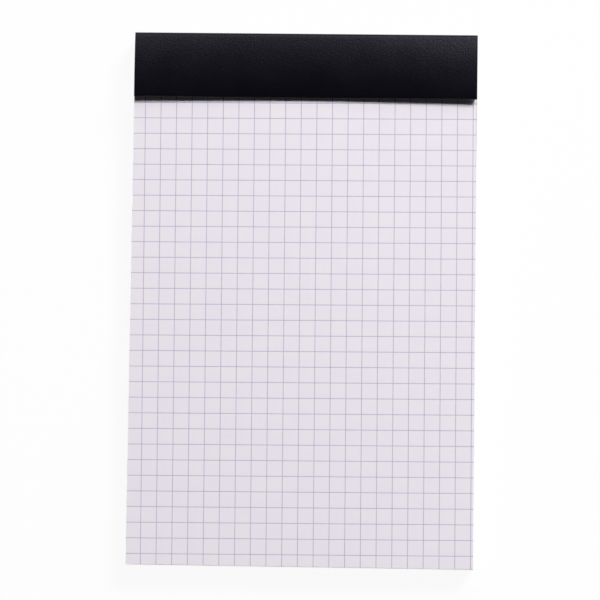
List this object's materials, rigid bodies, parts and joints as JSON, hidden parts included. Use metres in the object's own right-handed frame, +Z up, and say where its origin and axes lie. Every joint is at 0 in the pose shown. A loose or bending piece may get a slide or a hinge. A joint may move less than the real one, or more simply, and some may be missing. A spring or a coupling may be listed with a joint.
{
  "type": "stapled notepad",
  "caption": "Squared notepad bound at the head with wire staples, open on its folded-back black card cover, with a stiff board behind the sheets.",
  "frame": {"origin": "on the surface that the pad lies on, under the middle of its width and length", "axes": "+X across the pad to its right edge, +Y from the foot to the stapled head, +Z up out of the page"},
  "size_m": [0.11, 0.171, 0.0124],
  "materials": {
    "paper": "smooth white writing paper with a fine violet-grey ruling of 5 mm squares",
    "board": "uncoated grey board",
    "cover_card": "black card, satin",
    "staple_wire": "bright galvanised wire"
  },
  "bodies": {
    "root": {"page_block": "paper", "back_board": "board", "cover": "cover_card", "staples": "staple_wire"}
  },
  "joints": []
}
